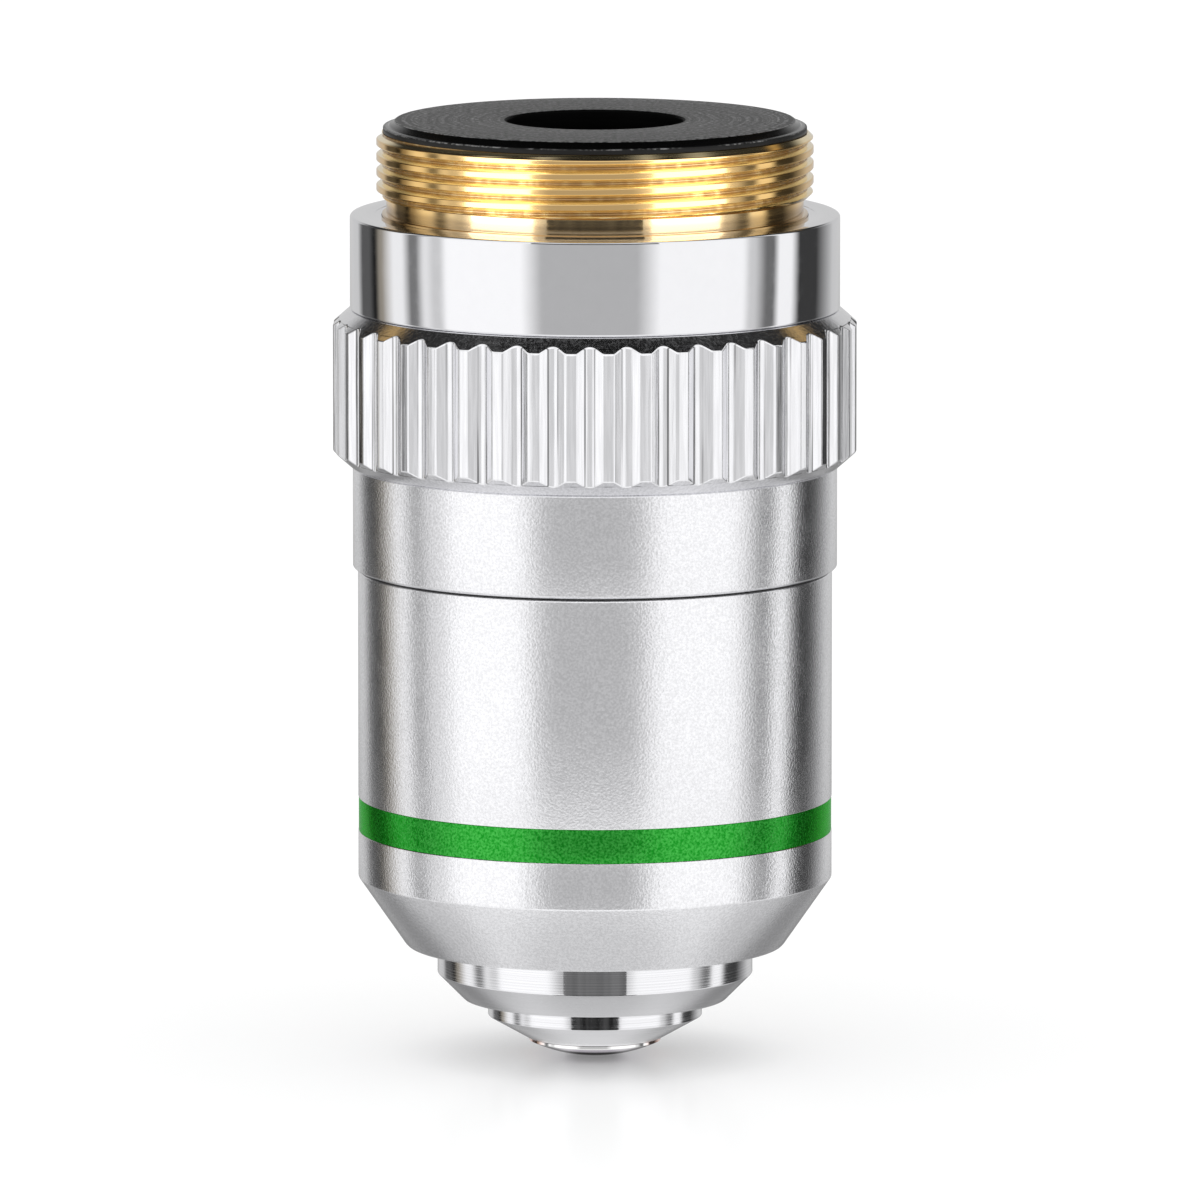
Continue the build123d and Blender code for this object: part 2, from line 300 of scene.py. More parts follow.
def table_sheet():
    """White sheet: matt with a faint gloss, with a painted contact shadow, see-through from below."""
    material, tree = bare_material("table sheet")
    cover = add_node(tree, "AmbientOcclusion", Distance=contact_reach)
    cover.samples = 4
    # painted contact shadow: the sheet's colour and glow are dimmed where the occlusion node finds cover
    painted_shadow_factor = between(tree, cover.outputs["AO"], 0, 1, contact_light, 1)
    paper = add_node(tree, "BsdfDiffuse", Color=blend(tree, painted_shadow_factor, grey(0), grey(0.82)))
    gloss = add_node(tree, "BsdfGlossy", Color=grey(0.95), Roughness=0.22)
    sheet = mix_shaders(tree, table_gloss, paper.outputs[0], gloss.outputs[0])
    seen = add_node(tree, "LightPath").outputs["Is Camera Ray"]
    glow = add_node(tree, "Emission", Strength=product(tree, painted_shadow_factor, table_glow, seen))
    lit = add_node(tree, "AddShader")
    connect(tree, lit.inputs[0], sheet)
    connect(tree, lit.inputs[1], glow.outputs[0])
    below = add_node(tree, "NewGeometry").outputs["Backfacing"]
    clear = add_node(tree, "BsdfTransparent").outputs[0]
    add_node(tree, "OutputMaterial", Surface=mix_shaders(tree, below, lit.outputs[0], clear))
    return material


lens_tip = cad_box[0].z
bpy.ops.object.select_all(action="DESELECT")
bpy.ops.mesh.primitive_plane_add(size=table_width, location=(0, 0, lens_tip))
table = bpy.context.object
table.name = "table"
table.data.materials.append(table_sheet())
table.visible_glossy = False
print("table at", round(lens_tip / mm, 2), "mm")

# %% [markdown]
# ## Turning a piece
# Nearly every piece of an objective is turned on a lathe. The Blender way is the same: draw half of the
# section as a chain of points by extruding a single vertex, round its sharp corners with a vertex bevel,
# and spin the chain once about the optical axis. The rounded corners matter, because a real edge always
# catches a thin line of light.

# %% Lathe helper
turn_steps = 240
merge_distance = 0.0002 * mm
smooth_below = radians(16)
sharp_above = radians(20)


def draw_chain(name, points):
    """A chain of edges through points (x, y, z), in edit mode, grown from one vertex by extrusion."""
    bpy.ops.object.select_all(action="DESELECT")
    bpy.ops.mesh.primitive_plane_add(size=mm)
    piece = bpy.context.object
    piece.name = piece.data.name = name
    bpy.ops.object.mode_set(mode="EDIT")
    bpy.ops.mesh.select_mode(type="VERT")
    bpy.ops.mesh.select_all(action="SELECT")
    bpy.ops.mesh.merge(type="CENTER")
    bpy.ops.transform.translate(value=points[0])
    for here, there in pairwise(points):
        step = Vector(there) - Vector(here)
        bpy.ops.mesh.extrude_vertices_move(TRANSFORM_OT_translate={"value": step})
    bpy.ops.mesh.select_all(action="SELECT")
    return piece


def close_mesh():
    """Merges doubled points, turns the faces outwards and leaves edit mode with smooth shading."""
    bpy.ops.mesh.select_all(action="SELECT")
    bpy.ops.mesh.remove_doubles(threshold=merge_distance)
    bpy.ops.mesh.normals_make_consistent(inside=False)
    bpy.ops.object.mode_set(mode="OBJECT")
    bpy.ops.object.shade_smooth_by_angle(angle=smooth_below)


def turn_ring(name, section, rounding):
    """A ring turned from the (radius, height) corners of its section, with every sharp edge rounded."""
    corners = [Vector((radius, 0, height)) for radius, height in section]
    piece = draw_chain(name, corners + corners[:1])
    bpy.ops.mesh.remove_doubles(threshold=merge_distance)
    bpy.ops.mesh.select_all(action="DESELECT")
    bpy.ops.object.mode_set(mode="OBJECT")
    for point, before, here, after in zip(
        piece.data.vertices, corners[-1:] + corners[:-1], corners, corners[1:] + corners[:1]
    ):
        point.select = (here - before).angle(after - here) > sharp_above
    bpy.ops.object.mode_set(mode="EDIT")
    bpy.ops.mesh.bevel(affect="VERTICES", offset=rounding, segments=3, clamp_overlap=True)
    bpy.ops.mesh.select_all(action="SELECT")
    bpy.ops.mesh.spin(steps=turn_steps, angle=2 * pi, center=(0, 0, 0), axis=(0, 0, 1))
    close_mesh()
    return piece


def settle(piece, node, finish):
    """Puts a finished piece on its body in place of its CAD node, with its finish."""
    if not piece.data.materials:
        piece.data.materials.append(finish)
    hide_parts(node)
    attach(piece, frame["nodes"][node]["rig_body"])
    print(piece.name, "stands for", node, "with", len(piece.data.polygons), "faces")


print("lathe with", turn_steps, "steps")

# %% [markdown]
# ## Coordinates for turned finishes
# A cutting tool leaves fine rings, the same all round. A pattern that reads only the radius and the height
# of a point gives rings on flat faces and lines around cylinders, wherever the surface is.


# %% Finish helpers
def new_finish(name, **sockets):
    """A material with a Principled shader, and its tree and shader for more nodes."""
    material = bpy.data.materials.new(name)
    material.use_nodes = True
    tree = material.node_tree
    shader = tree.nodes["Principled BSDF"]
    set_sockets(tree, shader, **sockets)
    return material, tree, shader


def object_place(tree):
    """The point on the surface, in the object's own frame."""
    return add_node(tree, "TexCoord").outputs["Object"]


def radius_and_height(tree):
    """Distance from the optical axis and height of the point."""
    place = add_node(tree, "SeparateXYZ", Vector=object_place(tree)).outputs
    across = product(tree, place["X"], place["X"])
    along = product(tree, place["Y"], place["Y"])
    return reckon(tree, "SQRT", reckon(tree, "ADD", across, along)), place["Z"]


def turning_rings(tree, ring_width):
    """A rough pattern of rings about the axis, as a cutting tool leaves them."""
    radius, height = radius_and_height(tree)
    spot = add_node(tree, "CombineXYZ", X=radius, Y=height).outputs[0]
    return add_node(tree, "TexNoise", Vector=spot, Scale=1 / ring_width, Detail=3.0).outputs["Fac"]


def grain(tree, grain_width, detail=2.0):
    """An even speckle, the same in all directions."""
    made = add_node(tree, "TexNoise", Vector=object_place(tree), Scale=1 / grain_width, Detail=detail)
    return made.outputs["Fac"]


def raise_surface(tree, shader, height, depth):
    """Bumps a surface by a pattern, to a depth in metres."""
    made = add_node(tree, "Bump", Strength=1.0, Distance=depth, Height=height)
    set_sockets(tree, shader, Normal=made.outputs[0])


print("finish helpers ready")

# %% [markdown]
# ## Polished brass
# The mount is brass, turned, polished and lacquered. Brass is a metal with a yellow reflection, so its
# colour goes into the base colour with Metallic at 1. Fine rings from the tool change the gloss a little
# from line to line. Masks by radius and height do the rest: the thread below its crests is painted paler, a
# painted highlight; its roots are darker and rougher in patches; the lower part of the neck is painted dark,
# a painted reflection; and where the neck faces the camera it is painted paler, a painted highlight. The
# clear lacquer is the shader's coat, which turns the brightest highlights from yellow to cream. It fades
# where the surface turns away, so that the sides stay golden.


# %% Mix the brass
neck_radius = 9.70 * mm
root_radius = 9.82 * mm
crest_radius = 10.16 * mm
thread_start = 0.85 * mm


def polished_brass():
    """Lacquered brass with the rings of the cutting tool, darker roots, painted highlights and a painted dark
    neck foot.
    """
    material, tree, shader = new_finish("polished brass", Metallic=1.0, Coat_IOR=2.0, Coat_Roughness=0.08)
    rings = turning_rings(tree, 0.12 * mm)
    radius, height = radius_and_height(tree)
    # the roots of the thread are made darker and rougher in patches
    root = between(tree, radius, root_radius + 0.09 * mm, root_radius + 0.03 * mm)
    threaded = between(tree, height, thread_start, thread_start + 0.12 * mm)
    patches = between(tree, grain(tree, 0.5 * mm, 4.0), 0.3, 0.6, 0.5, 0.85)
    dark_roots = product(tree, root, threaded, patches)
    # painted reflection: the lower part of the neck is painted dark
    painted_dark_reflection = between(tree, height, 0.75 * mm, 0.4 * mm, 0.0, 0.6)
    tone = blend(tree, grain(tree, 2.5 * mm), (0.82, 0.52, 0.185, 1), (0.88, 0.58, 0.225, 1))
    # painted highlight: the neck is painted paler where it faces the camera; the same mask fades the lacquer
    frontal = between(tree, add_node(tree, "LayerWeight").outputs["Facing"], 0.15, 0.45, 1.0, 0.1)
    pale = product(tree, frontal, between(tree, threaded, 0, 1, 0.5, 0))
    tone = blend(tree, pale, tone, (0.95, 0.74, 0.42, 1))
    tone = blend(tree, painted_dark_reflection, tone, (0.3, 0.18, 0.06, 1))
    # painted highlight: the thread below its crests is painted paler
    flank = between(tree, radius, crest_radius - 0.01 * mm, crest_radius - 0.08 * mm)
    painted_pale_flanks = product(tree, flank, threaded)
    tone = blend(tree, painted_pale_flanks, tone, (0.96, 0.78, 0.44, 1))
    set_sockets(tree, shader, Base_Color=blend(tree, dark_roots, tone, (0.36, 0.19, 0.05, 1)))
    lacquer = product(tree, frontal, between(tree, threaded, 0, 1, 1.0, 0.6))
    set_sockets(tree, shader, Coat_Weight=lacquer)
    gloss = between(tree, rings, 0.3, 0.7, 0.08, 0.17)
    set_sockets(tree, shader, Roughness=reckon(tree, "ADD", gloss, product(tree, dark_roots, 0.3)))
    raise_surface(tree, shader, rings, 0.0012 * mm)
    return material


brass = polished_brass()
print(brass.name)

# %% [markdown]
# ## The mount and its thread
# The mount is one long brass turning: a thread for the microscope, a plain neck under it, and a tube that
# carries all the rings. The standard objective thread has 36 turns to the inch. On this one the crests are
# flattened and the roots narrow. A screw modifier could make such a ridge, but its ends would stay loose.
# Here the plain wall gets many rows of points, and each point is pushed out to where the cutter would have
# left it, so that the thread runs out cleanly at both ends.

# %% Turn the mount and cut its thread
tube_radius = 9.90 * mm
tube_bore = 8.23 * mm
light_bore = 7.80 * mm
lip_height = 0.08 * mm
ledge_height = -1.25 * mm
thread_chamfer = 0.25 * mm
thread_pitch = 25.4 / 36 * mm
first_crest = 3.40 * mm
thread_rows = 200
crest_share = 0.34
root_share = 0.06
thread_smoothing = radians(50)
wall_margin = 0.1 * mm
wall_play = 0.01 * mm

mount_low, mount_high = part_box("mount_body")
mount_top = mount_high.z
mount = turn_ring(
    "turned_mount",
    [
        (tube_bore, mount_low.z),
        (tube_radius, mount_low.z),
        (tube_radius, lip_height),
        (neck_radius, lip_height),
        (neck_radius, mount_top),
        (light_bore, mount_top),
        (light_bore, ledge_height),
        (tube_bore, ledge_height),
    ],
    rounding=0.025 * mm,
)


def thread_share(angle, height):
    """How far out the thread's rounded profile stands there, from 0 at the root to 1 at the crest."""
    turns = (height - first_crest) / thread_pitch - (angle - pi) / (2 * pi)
    from_crest = abs(turns - round(turns)) * 2
    flank = min(1, max(0, (1 - root_share - from_crest) / (1 - root_share - crest_share)))
    return 0.5 * flank + 0.5 * flank * flank * (3 - 2 * flank)


wall_base = lip_height + wall_margin
wall_top = mount_top - wall_margin
inside_wall = (light_bore + neck_radius) / 2
bpy.ops.object.mode_set(mode="EDIT")
bpy.ops.mesh.select_mode(type="EDGE")
bpy.ops.mesh.select_all(action="DESELECT")
bpy.ops.object.mode_set(mode="OBJECT")
for edge in mount.data.edges:
    ends = [mount.data.vertices[index].co for index in edge.vertices]
    heights = sorted(end.z for end in ends)
    edge.select = heights[0] < wall_base < wall_top < heights[1] and hypot(*ends[0].xy) > inside_wall
bpy.ops.object.mode_set(mode="EDIT")
bpy.ops.mesh.subdivide_edgering(number_cuts=thread_rows, interpolation="LINEAR")
bpy.ops.object.mode_set(mode="OBJECT")

for point in mount.data.vertices:
    radius = hypot(*point.co.xy)
    if point.co.z > thread_start and radius > neck_radius - wall_play:
        angle = atan2(point.co.y, point.co.x) % (2 * pi)
        cut = root_radius + (crest_radius - root_radius) * thread_share(angle, point.co.z)
        lead_in = crest_radius - thread_chamfer + (mount_top - point.co.z)
        run_out = crest_radius - thread_chamfer + (point.co.z - thread_start)
        point.co.xy *= min(cut, lead_in, run_out) / radius
bpy.ops.object.shade_smooth_by_angle(angle=thread_smoothing)
settle(mount, "mount_body", brass)

# %% [markdown]
# ## The black stop ring
# A black ring closes the rear of the mount and leaves a round hole for the light. A bevel and a narrow
# ledge lead from its top to the rim. The paint is matt, the rings of the cutting tool show through it, and
# it has worn to bare metal in specks along the rim. Wear is a mask: it is high near the rim's radius,
# broken up by a fine speckle.

# %% Paint and turn the stop ring
stop_low, stop_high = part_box("rear_stop_ring")
stop_rim = stop_high.x
stop_top = stop_high.z
stop_edge = 9.27 * mm
stop_ledge = 9.60 * mm
stop_ledge_height = 4.13 * mm
stop_shoulder = 4.10 * mm
stop_hole = 4.125 * mm
stop_hole_bevel = 0.08 * mm
stop_plug = 7.78 * mm


def matt_black():
    """Matt black over turning rings, worn to specks along the outer edge, with dust and painted sheen on top
    and painted shade in the hole.
    """
    material, tree, shader = new_finish("matt black")
    rings = turning_rings(tree, 0.2 * mm)
    dust = between(tree, grain(tree, 0.2 * mm, 5.0), 0.38, 0.62, 0.15, 1.0)
    radius, height = radius_and_height(tree)
    edge = between(tree, radius, stop_rim - 0.11 * mm, stop_rim - 0.03 * mm)
    raised = between(tree, height, stop_shoulder - 0.06 * mm, stop_shoulder - 0.02 * mm)
    specks = between(tree, grain(tree, 0.22 * mm, 5.0), 0.4, 0.66)
    patches = between(tree, grain(tree, 4 * mm), 0.44, 0.6)
    wear = product(tree, edge, raised, specks, patches)
    beyond = between(tree, radius, stop_edge, stop_edge + 0.05 * mm)
    above = between(tree, height, stop_shoulder - 0.02 * mm, stop_shoulder + 0.02 * mm)
    bevel = product(tree, beyond, above)
    hole = between(tree, radius, stop_hole + 0.14 * mm, stop_hole + 0.06 * mm)
    top = between(tree, height, stop_top - 0.06 * mm, stop_top - 0.02 * mm)
    lines = between(tree, rings, 0.4, 0.6, 0.05, 1.15)
    # dust and painted sheen: the top face is painted grey along the tool's rings
    dust_and_sheen = product(tree, dust, lines, top)
    paint = blend(tree, dust_and_sheen, grey(0.004), grey(0.22))
    # painted shade: the hole's wall is painted blacker than the paint; the bevel gets the same near-black
    paint = blend(tree, reckon(tree, "MAXIMUM", bevel, hole), paint, grey(0.001))
    set_sockets(tree, shader, Base_Color=blend(tree, wear, paint, grey(0.38)))
    set_sockets(tree, shader, Specular_IOR_Level=between(tree, hole, 0, 1, 0.3, 0.03))
    matt = between(tree, rings, 0.3, 0.7, 0.36, 0.54)
    set_sockets(tree, shader, Roughness=reckon(tree, "SUBTRACT", matt, product(tree, bevel, 0.26)))
    set_sockets(tree, shader, Metallic=wear)
    raise_surface(tree, shader, reckon(tree, "ADD", rings, dust_and_sheen), 0.01 * mm)
    return material


stop_ring = turn_ring(
    "stop_ring",
    [
        (stop_hole, stop_low.z),
        (stop_plug, stop_low.z),
        (stop_plug, mount_top),
        (stop_rim, mount_top),
        (stop_rim, stop_shoulder),
        (stop_ledge, stop_ledge_height),
        (stop_edge, stop_top),
        (stop_hole + stop_hole_bevel, stop_top),
        (stop_hole, stop_top - stop_hole_bevel),
    ],
    rounding=0.035 * mm,
)
settle(stop_ring, "rear_stop_ring", matt_black())

# %% [markdown]
# ## Mirror chrome
# Collar and grip are plated with bright chrome, which is a trace bluer than grey. A mirror needs a low
# roughness, but a perfect one looks false: a very shallow ripple and a trace of haze make the reflections
# waver as they do on plated metal.


# %% Plate the chrome
def chrome(level):
    """The tone of chrome at a brightness."""
    return (level, level, 1.025 * level, 1)


def mirror_chrome():
    """Bright plating with a faint ripple and a little haze."""
    material, tree, shader = new_finish("mirror chrome", Metallic=1.0)
    haze = grain(tree, 0.6 * mm, 4.0)
    set_sockets(tree, shader, Base_Color=blend(tree, haze, chrome(0.78), chrome(0.82)))
    set_sockets(tree, shader, Roughness=between(tree, haze, 0.35, 0.75, 0.04, 0.1))
    raise_surface(tree, shader, grain(tree, 1.8 * mm, 1.0), 0.003 * mm)
    return material


collar_chrome = mirror_chrome()
print(collar_chrome.name)

# %% [markdown]
# ## The collar
# The top face of the collar is the seat that meets the microscope, and it mirrors the brass above it. It is
# a plain ring with rounded rims and a hair-thin relief next to the neck. A rim that is a full quarter round
# shows the whole room from the table to the ceiling as thin lines, so it is drawn as an arc in the section.

# %% Turn the collar
ring_fit = 0.02 * mm
ring_bore = tube_radius + ring_fit
collar_round = 0.13 * mm
round_steps = 6
seat_inner = 10.26 * mm
seat_relief = 0.03 * mm


def quarter_round(radius, height, size, upper):
    """Points that round the outer edge of a section, from below upwards."""
    first = 0 if upper else -pi / 2
    middle = height - size if upper else height + size
    turns = [first + step * pi / 2 / round_steps for step in range(round_steps + 1)]
    return [(radius - size + size * cos(turn), middle + size * sin(turn)) for turn in turns]


collar_low, collar_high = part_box("mount_collar")
collar = turn_ring(
    "seat_collar",
    [
        (ring_bore, collar_low.z),
        *quarter_round(collar_high.x, collar_low.z, collar_round, upper=False),
        *quarter_round(collar_high.x, collar_high.z, collar_round, upper=True),
        (seat_inner, collar_high.z),
        (seat_inner, collar_high.z - seat_relief),
        (ring_bore, collar_high.z - seat_relief),
    ],
    rounding=0.015 * mm,
)
settle(collar, "mount_collar", collar_chrome)

# %% [markdown]
# ## The fluted grip
# The grip has 44 straight flutes that two chamfers run out. One flute is modelled, from the middle of a
# land to the middle of the next: its outline is drawn as a chain, the corners are rounded, and the chain is
# pulled up into a wall and in over the chamfers to the bore. A spin that copies instead of sweeping repeats
# it around the axis.

# %% Shape one flute and repeat it
flute_count = 44
first_land = radians(-87.03)
grip_radius = 12.20 * mm
flute_root = 11.86 * mm
flute_foot = 11.91 * mm
land_width = 0.51 * mm
root_width = 0.41 * mm
grip_chamfer_width = 0.80 * mm
grip_chamfer_height = 0.70 * mm
flute_rounding = 0.09 * mm
edge_softness = 0.05 * mm
soften_above = radians(30)
grip_smoothing = radians(20)

grip_low, grip_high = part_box("grip_ring")
flute_pitch = 2 * pi / flute_count
half_land = land_width / 2 / grip_radius
half_root = root_width / 2 / flute_foot
chamfer_foot = grip_radius - grip_chamfer_width


def around(radius, angle):
    """A point at the foot of the grip, by its radius and its angle from the first land."""
    return (radius * cos(first_land + angle), radius * sin(first_land + angle), grip_low.z)


grip = draw_chain(
    "fluted_grip",
    [
        around(grip_radius, 0),
        around(grip_radius, half_land),
        around(flute_foot, flute_pitch / 2 - half_root),
        around(flute_root, flute_pitch / 2),
        around(flute_foot, flute_pitch / 2 + half_root),
        around(grip_radius, flute_pitch - half_land),
        around(grip_radius, flute_pitch),
    ],
)
bpy.ops.mesh.select_all(action="DESELECT")
bpy.ops.object.mode_set(mode="OBJECT")
land_ends_and_root_ends = (1, 2, 4, 5)
for corner in land_ends_and_root_ends:
    grip.data.vertices[corner].select = True
bpy.ops.object.mode_set(mode="EDIT")
bpy.ops.mesh.bevel(affect="VERTICES", offset=flute_rounding, segments=4, clamp_overlap=True)
bpy.ops.object.mode_set(mode="OBJECT")
outline_count = len(grip.data.vertices)
print("one flute has", outline_count, "points")


# %% Pull the flute round its section
def at_ring(radius, height):
    """A rule that moves a point straight in or out to a radius, at a height."""

    def rule(place):
        scale = radius / hypot(*place.xy)
        return (place.x * scale, place.y * scale, height)

    return rule


def chamfer_drop(place):
    """How far the chamfer has cut into the wall at a point's radius."""
    return (hypot(*place.xy) - chamfer_foot) * grip_chamfer_height / grip_chamfer_width


def flute_top(place):
    """The upper end of the wall above a point of the outline."""
    return (place.x, place.y, grip_high.z - chamfer_drop(place))


for point in grip.data.vertices:
    point.co.z = grip_low.z + chamfer_drop(point.co)
    point.select = True
section_rules = [
    flute_top,
    at_ring(chamfer_foot, grip_high.z),
    at_ring(ring_bore, grip_high.z),
    at_ring(ring_bore, grip_low.z),
    at_ring(chamfer_foot, grip_low.z),
]
for rule in section_rules:
    bpy.ops.object.mode_set(mode="EDIT")
    bpy.ops.mesh.extrude_region_move()
    bpy.ops.object.mode_set(mode="OBJECT")
    for point in grip.data.vertices:
        if point.select:
            point.co = rule(point.co)
for point in grip.data.vertices[:outline_count]:
    point.select = True
bpy.ops.object.mode_set(mode="EDIT")
bpy.ops.mesh.bridge_edge_loops()
bpy.ops.mesh.select_all(action="SELECT")
bpy.ops.mesh.spin(
    steps=flute_count - 1, dupli=True, angle=2 * pi - flute_pitch, center=(0, 0, 0), axis=(0, 0, 1)
)
close_mesh()
soften = grip.modifiers.new("softened edges", "BEVEL")
soften.width = edge_softness
soften.segments = 3
soften.limit_method = "ANGLE"
soften.angle_limit = soften_above
bpy.ops.object.modifier_apply(modifier=soften.name)
bpy.ops.object.shade_smooth_by_angle(angle=grip_smoothing)
print("grip with", flute_count, "flutes")

# %% [markdown]
# ## Chrome for the flutes
# The flutes were milled along the axis, so their plating has fine upright streaks: a speckle that is drawn
# out along the height. Thin dark lines run in the corners of some flutes, found by their radius.


# %% Plate the grip
def fluted_chrome():
    """Bright plating with upright streaks and dark lines in the corners of the flutes."""
    material, tree, shader = new_finish("fluted chrome", Metallic=1.0)
    place = add_node(tree, "SeparateXYZ", Vector=object_place(tree)).outputs
    drawn_out = add_node(
        tree, "CombineXYZ", X=place["X"], Y=place["Y"], Z=product(tree, place["Z"], 0.05)
    ).outputs[0]
    streaks = add_node(tree, "TexNoise", Vector=drawn_out, Scale=1 / (0.14 * mm), Detail=3.0).outputs["Fac"]
    radius, _ = radius_and_height(tree)
    off_corner = reckon(tree, "ABSOLUTE", reckon(tree, "SUBTRACT", radius, flute_foot + 0.02 * mm))
    corner = between(tree, off_corner, 0.028 * mm, 0.008 * mm)
    some = add_node(tree, "TexNoise", Vector=drawn_out, Scale=1 / (0.6 * mm), Detail=2.0).outputs["Fac"]
    # thin dark lines in the corners of some flutes
    dark_corner_lines = product(tree, corner, between(tree, some, 0.42, 0.62, 0.1, 0.8))
    plate = blend(tree, between(tree, streaks, 0.35, 0.65), chrome(0.77), chrome(0.87))
    set_sockets(tree, shader, Base_Color=blend(tree, dark_corner_lines, plate, grey(0.04)))
    set_sockets(tree, shader, Roughness=between(tree, streaks, 0.35, 0.65, 0.09, 0.17))
    raise_surface(tree, shader, streaks, 0.004 * mm)
    return material


settle(grip, "grip_ring", fluted_chrome())

# %% [markdown]
# ## Light for single pieces
# In the photograph the softboxes burn out to cream on the brass, and the flutes are paler than the collar
# beside them. A brighter world would burn out the rest of the chrome as well. A lamp can instead be linked
# to chosen pieces: two lamps stand where the softboxes are and light the mount alone, and one before the
# grey gap lights the grip alone.

# %% Link lamps to the brass and to the grip
lamp_distance = 1.0


def linked_lamp(name, piece, turn, spread, height, level):
    """A large lamp at an angle around the object, as wide as an angle, that lights one piece."""
    outwards = Vector((sin(radians(turn)), -cos(radians(turn)), 0))
    bpy.ops.object.light_add(
        type="AREA", location=lamp_distance * outwards, rotation=outwards.to_track_quat("Z", "Y").to_euler()
    )
    lamp = bpy.context.object
    lamp.name = lamp.data.name = name
    lamp.data.shape = "RECTANGLE"
    lamp.data.size = 2 * lamp_distance * tan(radians(spread / 2))
    lamp.data.size_y = height
    lamp.data.energy = level * pi * lamp.data.size * lamp.data.size_y
    lamp.visible_camera = False
    lit = bpy.data.collections.new("lit by " + name)
    lit.objects.link(piece)
    lamp.light_linking.receiver_collection = lit
    print(name, "lights", piece.name)


linked_lamp("left brass lamp", mount, turn=-53, spread=38, height=3.6, level=2.3)
linked_lamp("right brass lamp", mount, turn=52, spread=42, height=3.6, level=2.1)
linked_lamp("front grip lamp", grip, turn=-2, spread=50, height=1.2, level=0.24)

# %% [markdown]
# ## Satin chrome
# The barrel is blasted with fine beads before it is plated, so it glows instead of mirroring. A middling
# roughness blurs the studio's bands, and a fine speckle in the tone and the bump gives the sparkle of the
# blasted skin. Where ring and barrel meet, the joint has filled with dust, which draws a fine dark line.

# %% Blast the satin chrome
ring_low, ring_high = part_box("barrel_ring")


def satin_chrome():
    """Bead-blasted plating: soft reflections, a fine grain and a dusty joint."""
    material, tree, shader = new_finish("satin chrome", Metallic=1.0)
    beads = grain(tree, 0.11 * mm, 3.0)
    glint = between(tree, beads, 0.32, 0.68)
    cloud = grain(tree, 1.5 * mm)
    _, height = radius_and_height(tree)
    off_joint = reckon(tree, "ABSOLUTE", reckon(tree, "SUBTRACT", height, ring_low.z))
    dust = between(tree, off_joint, 0.07 * mm, 0.03 * mm, 0.0, 0.9)
    plate = blend(tree, glint, chrome(0.77), chrome(0.915))
    set_sockets(tree, shader, Base_Color=blend(tree, dust, plate, grey(0.05)))
    set_sockets(tree, shader, Roughness=between(tree, cloud, 0.3, 0.7, 0.16, 0.2))
    raise_surface(tree, shader, beads, 0.01 * mm)
    return material


satin = satin_chrome()
print(satin.name)

# %% [markdown]
# ## The satin ring
# Under the grip sits a plain ring with a wide bevel at its foot. Together with the barrel's own bevel it
# makes the dark groove where the two meet.

# %% Turn the satin ring
ring_top_bevel = 0.10 * mm
ring_foot_width = 0.22 * mm
ring_foot_height = 0.14 * mm

satin_ring = turn_ring(
    "satin_ring",
    [
        (ring_bore, ring_low.z),
        (ring_high.x - ring_foot_width, ring_low.z),
        (ring_high.x, ring_low.z + ring_foot_height),
        (ring_high.x, ring_high.z - ring_top_bevel),
        (ring_high.x - ring_top_bevel, ring_high.z),
        (ring_bore, ring_high.z),
    ],
    rounding=0.035 * mm,
)
settle(satin_ring, "barrel_ring", satin)

# %% [markdown]
# ## The barrel
# The barrel screws up the mount's tube. It has a shallow groove for the colour band, a cone towards the
# specimen, and inside it a lip on which the sliding nose rests.

# %% Turn the barrel
barrel_low, barrel_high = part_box("barrel_sleeve")
band_low, band_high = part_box("colour_band")
nose_gap = 0.05 * mm
nose_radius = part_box("nose_cell")[1].x
mouth_radius = nose_radius + nose_gap
mouth_rim = 8.89 * mm
mouth_edge = 0.12 * mm
cone_top = -31.05 * mm
groove_radius = 10.90 * mm
groove_play = 0.004 * mm
barrel_bevel = 0.12 * mm
flange_bore = 9.40 * mm
tube_end = -24.55 * mm
lip_top = -32.20 * mm

barrel = turn_ring(
    "satin_barrel",
    [
        (mouth_radius, barrel_low.z),
        (mouth_rim - mouth_edge, barrel_low.z),
        (mouth_rim, barrel_low.z + mouth_edge),
        (barrel_high.x, cone_top),
        (barrel_high.x, band_low.z - groove_play),
        (groove_radius, band_low.z - groove_play),
        (groove_radius, band_high.z + groove_play),
        (barrel_high.x, band_high.z + groove_play),
        (barrel_high.x, barrel_high.z - barrel_bevel),
        (barrel_high.x - barrel_bevel, barrel_high.z),
        (ring_bore, barrel_high.z),
        (ring_bore, tube_end),
        (flange_bore, tube_end),
        (flange_bore, lip_top),
        (mouth_radius, lip_top),
    ],
    rounding=0.05 * mm,
)
settle(barrel, "barrel_sleeve", satin)

# %% [markdown]
# ## The green band
# The band's colour tells the magnification. It is clear green lacquer over blasted metal, so its highlights
# are green and not white: the colour belongs in a metallic base. Metal pales where it turns away, so a green
# tint holds the colour there, and a thin clear coat adds a trace of white gleam.


# %% Lacquer and turn the band
def green_enamel():
    """Green lacquer over a blasted ground."""
    material, tree, shader = new_finish(
        "green enamel", Metallic=0.9, Specular_Tint=(0.1, 0.9, 0.15, 1), Coat_Weight=0.15, Coat_Roughness=0.1
    )
    beads = grain(tree, 0.11 * mm, 3.0)
    tone = blend(tree, between(tree, beads, 0.32, 0.68), (0.004, 0.27, 0.012, 1), (0.06, 0.48, 0.07, 1))
    set_sockets(tree, shader, Base_Color=tone)
    set_sockets(tree, shader, Roughness=between(tree, beads, 0.3, 0.7, 0.2, 0.28))
    raise_surface(tree, shader, beads, 0.009 * mm)
    return material


